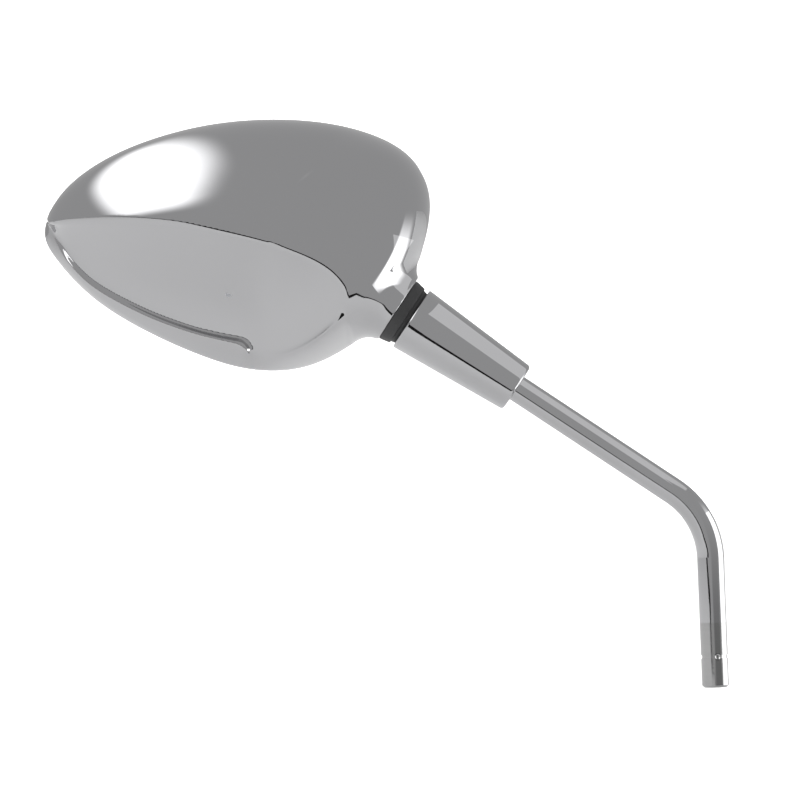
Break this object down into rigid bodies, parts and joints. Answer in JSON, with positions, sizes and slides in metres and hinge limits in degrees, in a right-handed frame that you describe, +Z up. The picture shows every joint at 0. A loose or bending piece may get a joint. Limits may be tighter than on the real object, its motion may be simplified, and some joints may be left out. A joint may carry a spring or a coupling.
{
  "type": "handlebar rear-view mirror",
  "caption": "Chrome teardrop rear-view mirror on a bent rod. The head swivels on a friction ball joint, and a plain round spigot clamps to a handlebar.",
  "frame": {"origin": "centre of the rod where its plain clamp spigot starts, 24 mm above the lower end", "axes": "+Z up along the spigot, +X towards the middle of the vehicle, +Y towards the rider, who looks at the glass"},
  "size_m": [0.2469, 0.044, 0.2163],
  "materials": {
    "chrome_steel": "polished chrome plate on steel",
    "chrome_shell": "polished chrome plate on moulded plastic",
    "zinc_steel": "zinc plated, satin",
    "spring_steel": "oiled spring wire",
    "brass": "turned",
    "nylon_white": "natural nylon",
    "black_plastic": "fine grain",
    "seal_rubber": "satin moulded rubber",
    "foam": "foam tape",
    "mirror_glass": "convex silvered glass"
  },
  "bodies": {
    "stem": {"rod": "chrome_steel", "ball_stud": "zinc_steel", "stud_lock_nut": "zinc_steel", "lock_washer": "zinc_steel", "sleeve": "chrome_shell", "sleeve_lower_bush": "black_plastic", "sleeve_upper_bush": "black_plastic"},
    "upper_liner": {"liner_upper": "nylon_white"},
    "lower_liner": {"liner_lower": "nylon_white"},
    "head": {"socket_cup": "zinc_steel", "pressure_cup": "zinc_steel", "joint_spring": "spring_steel", "spring_washer": "zinc_steel", "retaining_nut": "brass", "seal_ring": "seal_rubber", "housing_shell": "chrome_shell", "carrier_plate": "black_plastic", "carrier_screws": "zinc_steel", "glass_pad": "foam", "mirror_glass": "mirror_glass", "glass_gasket": "seal_rubber"}
  },
  "joints": [
    {"name": "head_twist", "type": "hinge", "parent": "stem", "child": "upper_liner", "pos_m": [-0.11196, 0, 0.11986], "axis": [-0.8131, 0, 0.5821], "range_deg": [-30, 30]},
    {"name": "head_pan", "type": "hinge", "parent": "upper_liner", "child": "lower_liner", "pos_m": [-0.11196, 0, 0.11986], "axis": [0.5821, 0, 0.8131], "range_deg": [-15, 15]},
    {"name": "head_tilt", "type": "hinge", "parent": "lower_liner", "child": "head", "pos_m": [-0.11196, 0, 0.11986], "axis": [0, 1, 0], "range_deg": [-15, 15]}
  ]
}
